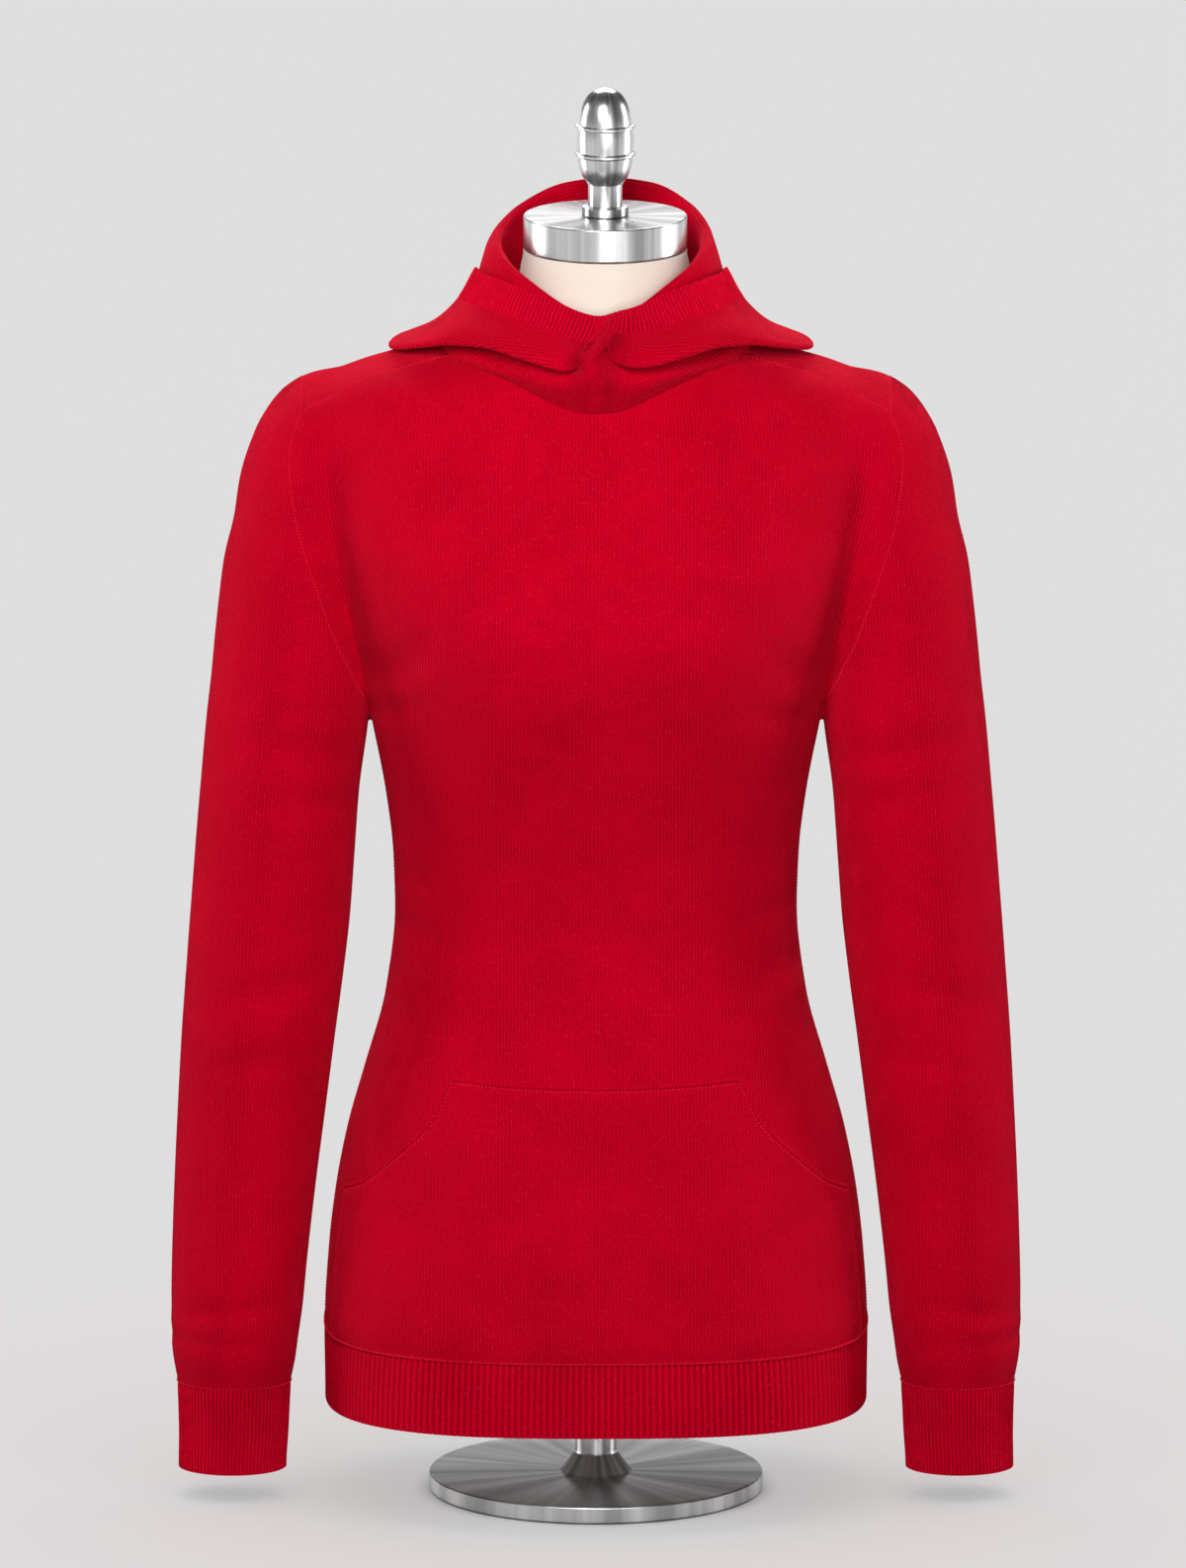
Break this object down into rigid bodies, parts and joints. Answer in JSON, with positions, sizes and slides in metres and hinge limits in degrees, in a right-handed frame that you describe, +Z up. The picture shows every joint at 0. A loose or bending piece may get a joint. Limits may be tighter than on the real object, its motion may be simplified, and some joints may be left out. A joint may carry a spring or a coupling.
{
  "type": "cashmere hoodie on a limbless dress form",
  "caption": "Red fine-knit cashmere pullover hoodie with a front pouch pocket, hood down, shown on a cream limbless tabletop dress form with a brushed aluminium cap, finial and stand",
  "frame": {"origin": "middle of the underside of the stand's base plate, on the surface it stands on", "axes": "+Z up, the garment's front faces -Y, +X to the right in a view from the front; metres"},
  "size_m": [0.5086, 0.257, 0.853],
  "materials": {
    "cashmere_knit": "fine jersey knit cashmere, soft and matt with a short nap",
    "cashmere_rib": "fine rib knit cashmere, soft and matt",
    "form_cover": "tight cream jersey cover, matt",
    "brushed_metal": "turned and brushed aluminium, satin"
  },
  "bodies": {
    "root": {"front": "cashmere_knit", "back": "cashmere_knit", "hem_rib_front": "cashmere_rib", "hem_rib_back": "cashmere_rib", "pocket": "cashmere_knit", "sleeve_left": "cashmere_knit", "sleeve_right": "cashmere_knit", "cuff_left": "cashmere_rib", "cuff_right": "cashmere_rib", "hood_left": "cashmere_knit", "hood_right": "cashmere_knit", "hood_band": "cashmere_rib", "form": "form_cover", "neck_cap": "brushed_metal", "finial": "brushed_metal", "stand": "brushed_metal"}
  },
  "joints": []
}
